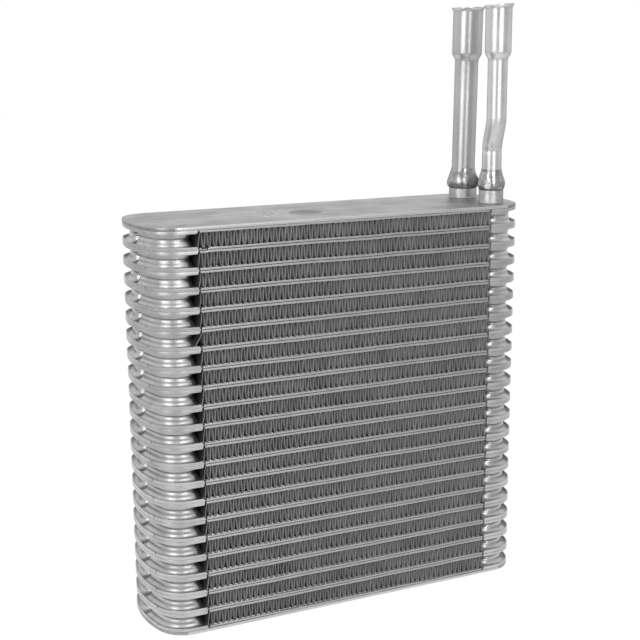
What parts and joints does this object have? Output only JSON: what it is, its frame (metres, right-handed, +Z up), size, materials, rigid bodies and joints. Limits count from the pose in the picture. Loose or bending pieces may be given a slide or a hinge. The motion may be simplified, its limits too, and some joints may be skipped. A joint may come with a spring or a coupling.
{
  "type": "evaporator core",
  "caption": "Brazed aluminium plate and fin evaporator core with stacked cup header tanks at both ends and two upright socket pipes on the top plate.",
  "frame": {"origin": "middle of the underside of the bottom end plate, on which the core rests", "axes": "+X along the tubes towards the pipe end, +Y from the front to the back, +Z up"},
  "size_m": [0.265, 0.076, 0.3845],
  "materials": {
    "end_plate": "dull mill finish after brazing",
    "tube_plate": "satin, brazed sheet",
    "fin": "thin mill finish strip",
    "ferrule": "turned, dulled by heat",
    "weld": "smooth cast bead, bright with darker heat marks",
    "pipe": "drawn, bright"
  },
  "bodies": {
    "root": {"top_end_plate": "end_plate", "bottom_end_plate": "end_plate", "top_half_plate": "tube_plate", "bottom_half_plate": "tube_plate", "rear_ferrule": "ferrule", "front_ferrule": "ferrule", "rear_weld_bead": "weld", "front_weld_bead": "weld", "rear_pipe": "pipe", "front_pipe": "pipe", "tube_01": "tube_plate", "tube_02": "tube_plate", "tube_03": "tube_plate", "tube_04": "tube_plate", "tube_05": "tube_plate", "tube_06": "tube_plate", "tube_07": "tube_plate", "tube_08": "tube_plate", "tube_09": "tube_plate", "tube_10": "tube_plate", "tube_11": "tube_plate", "tube_12": "tube_plate", "tube_13": "tube_plate", "tube_14": "tube_plate", "tube_15": "tube_plate", "tube_16": "tube_plate", "tube_17": "tube_plate", "tube_18": "tube_plate", "tube_19": "tube_plate", "tube_20": "tube_plate", "fin_01": "fin", "fin_02": "fin", "fin_03": "fin", "fin_04": "fin", "fin_05": "fin", "fin_06": "fin", "fin_07": "fin", "fin_08": "fin", "fin_09": "fin", "fin_10": "fin", "fin_11": "fin", "fin_12": "fin", "fin_13": "fin", "fin_14": "fin", "fin_15": "fin", "fin_16": "fin", "fin_17": "fin", "fin_18": "fin", "fin_19": "fin", "fin_20": "fin", "fin_21": "fin"}
  },
  "joints": []
}
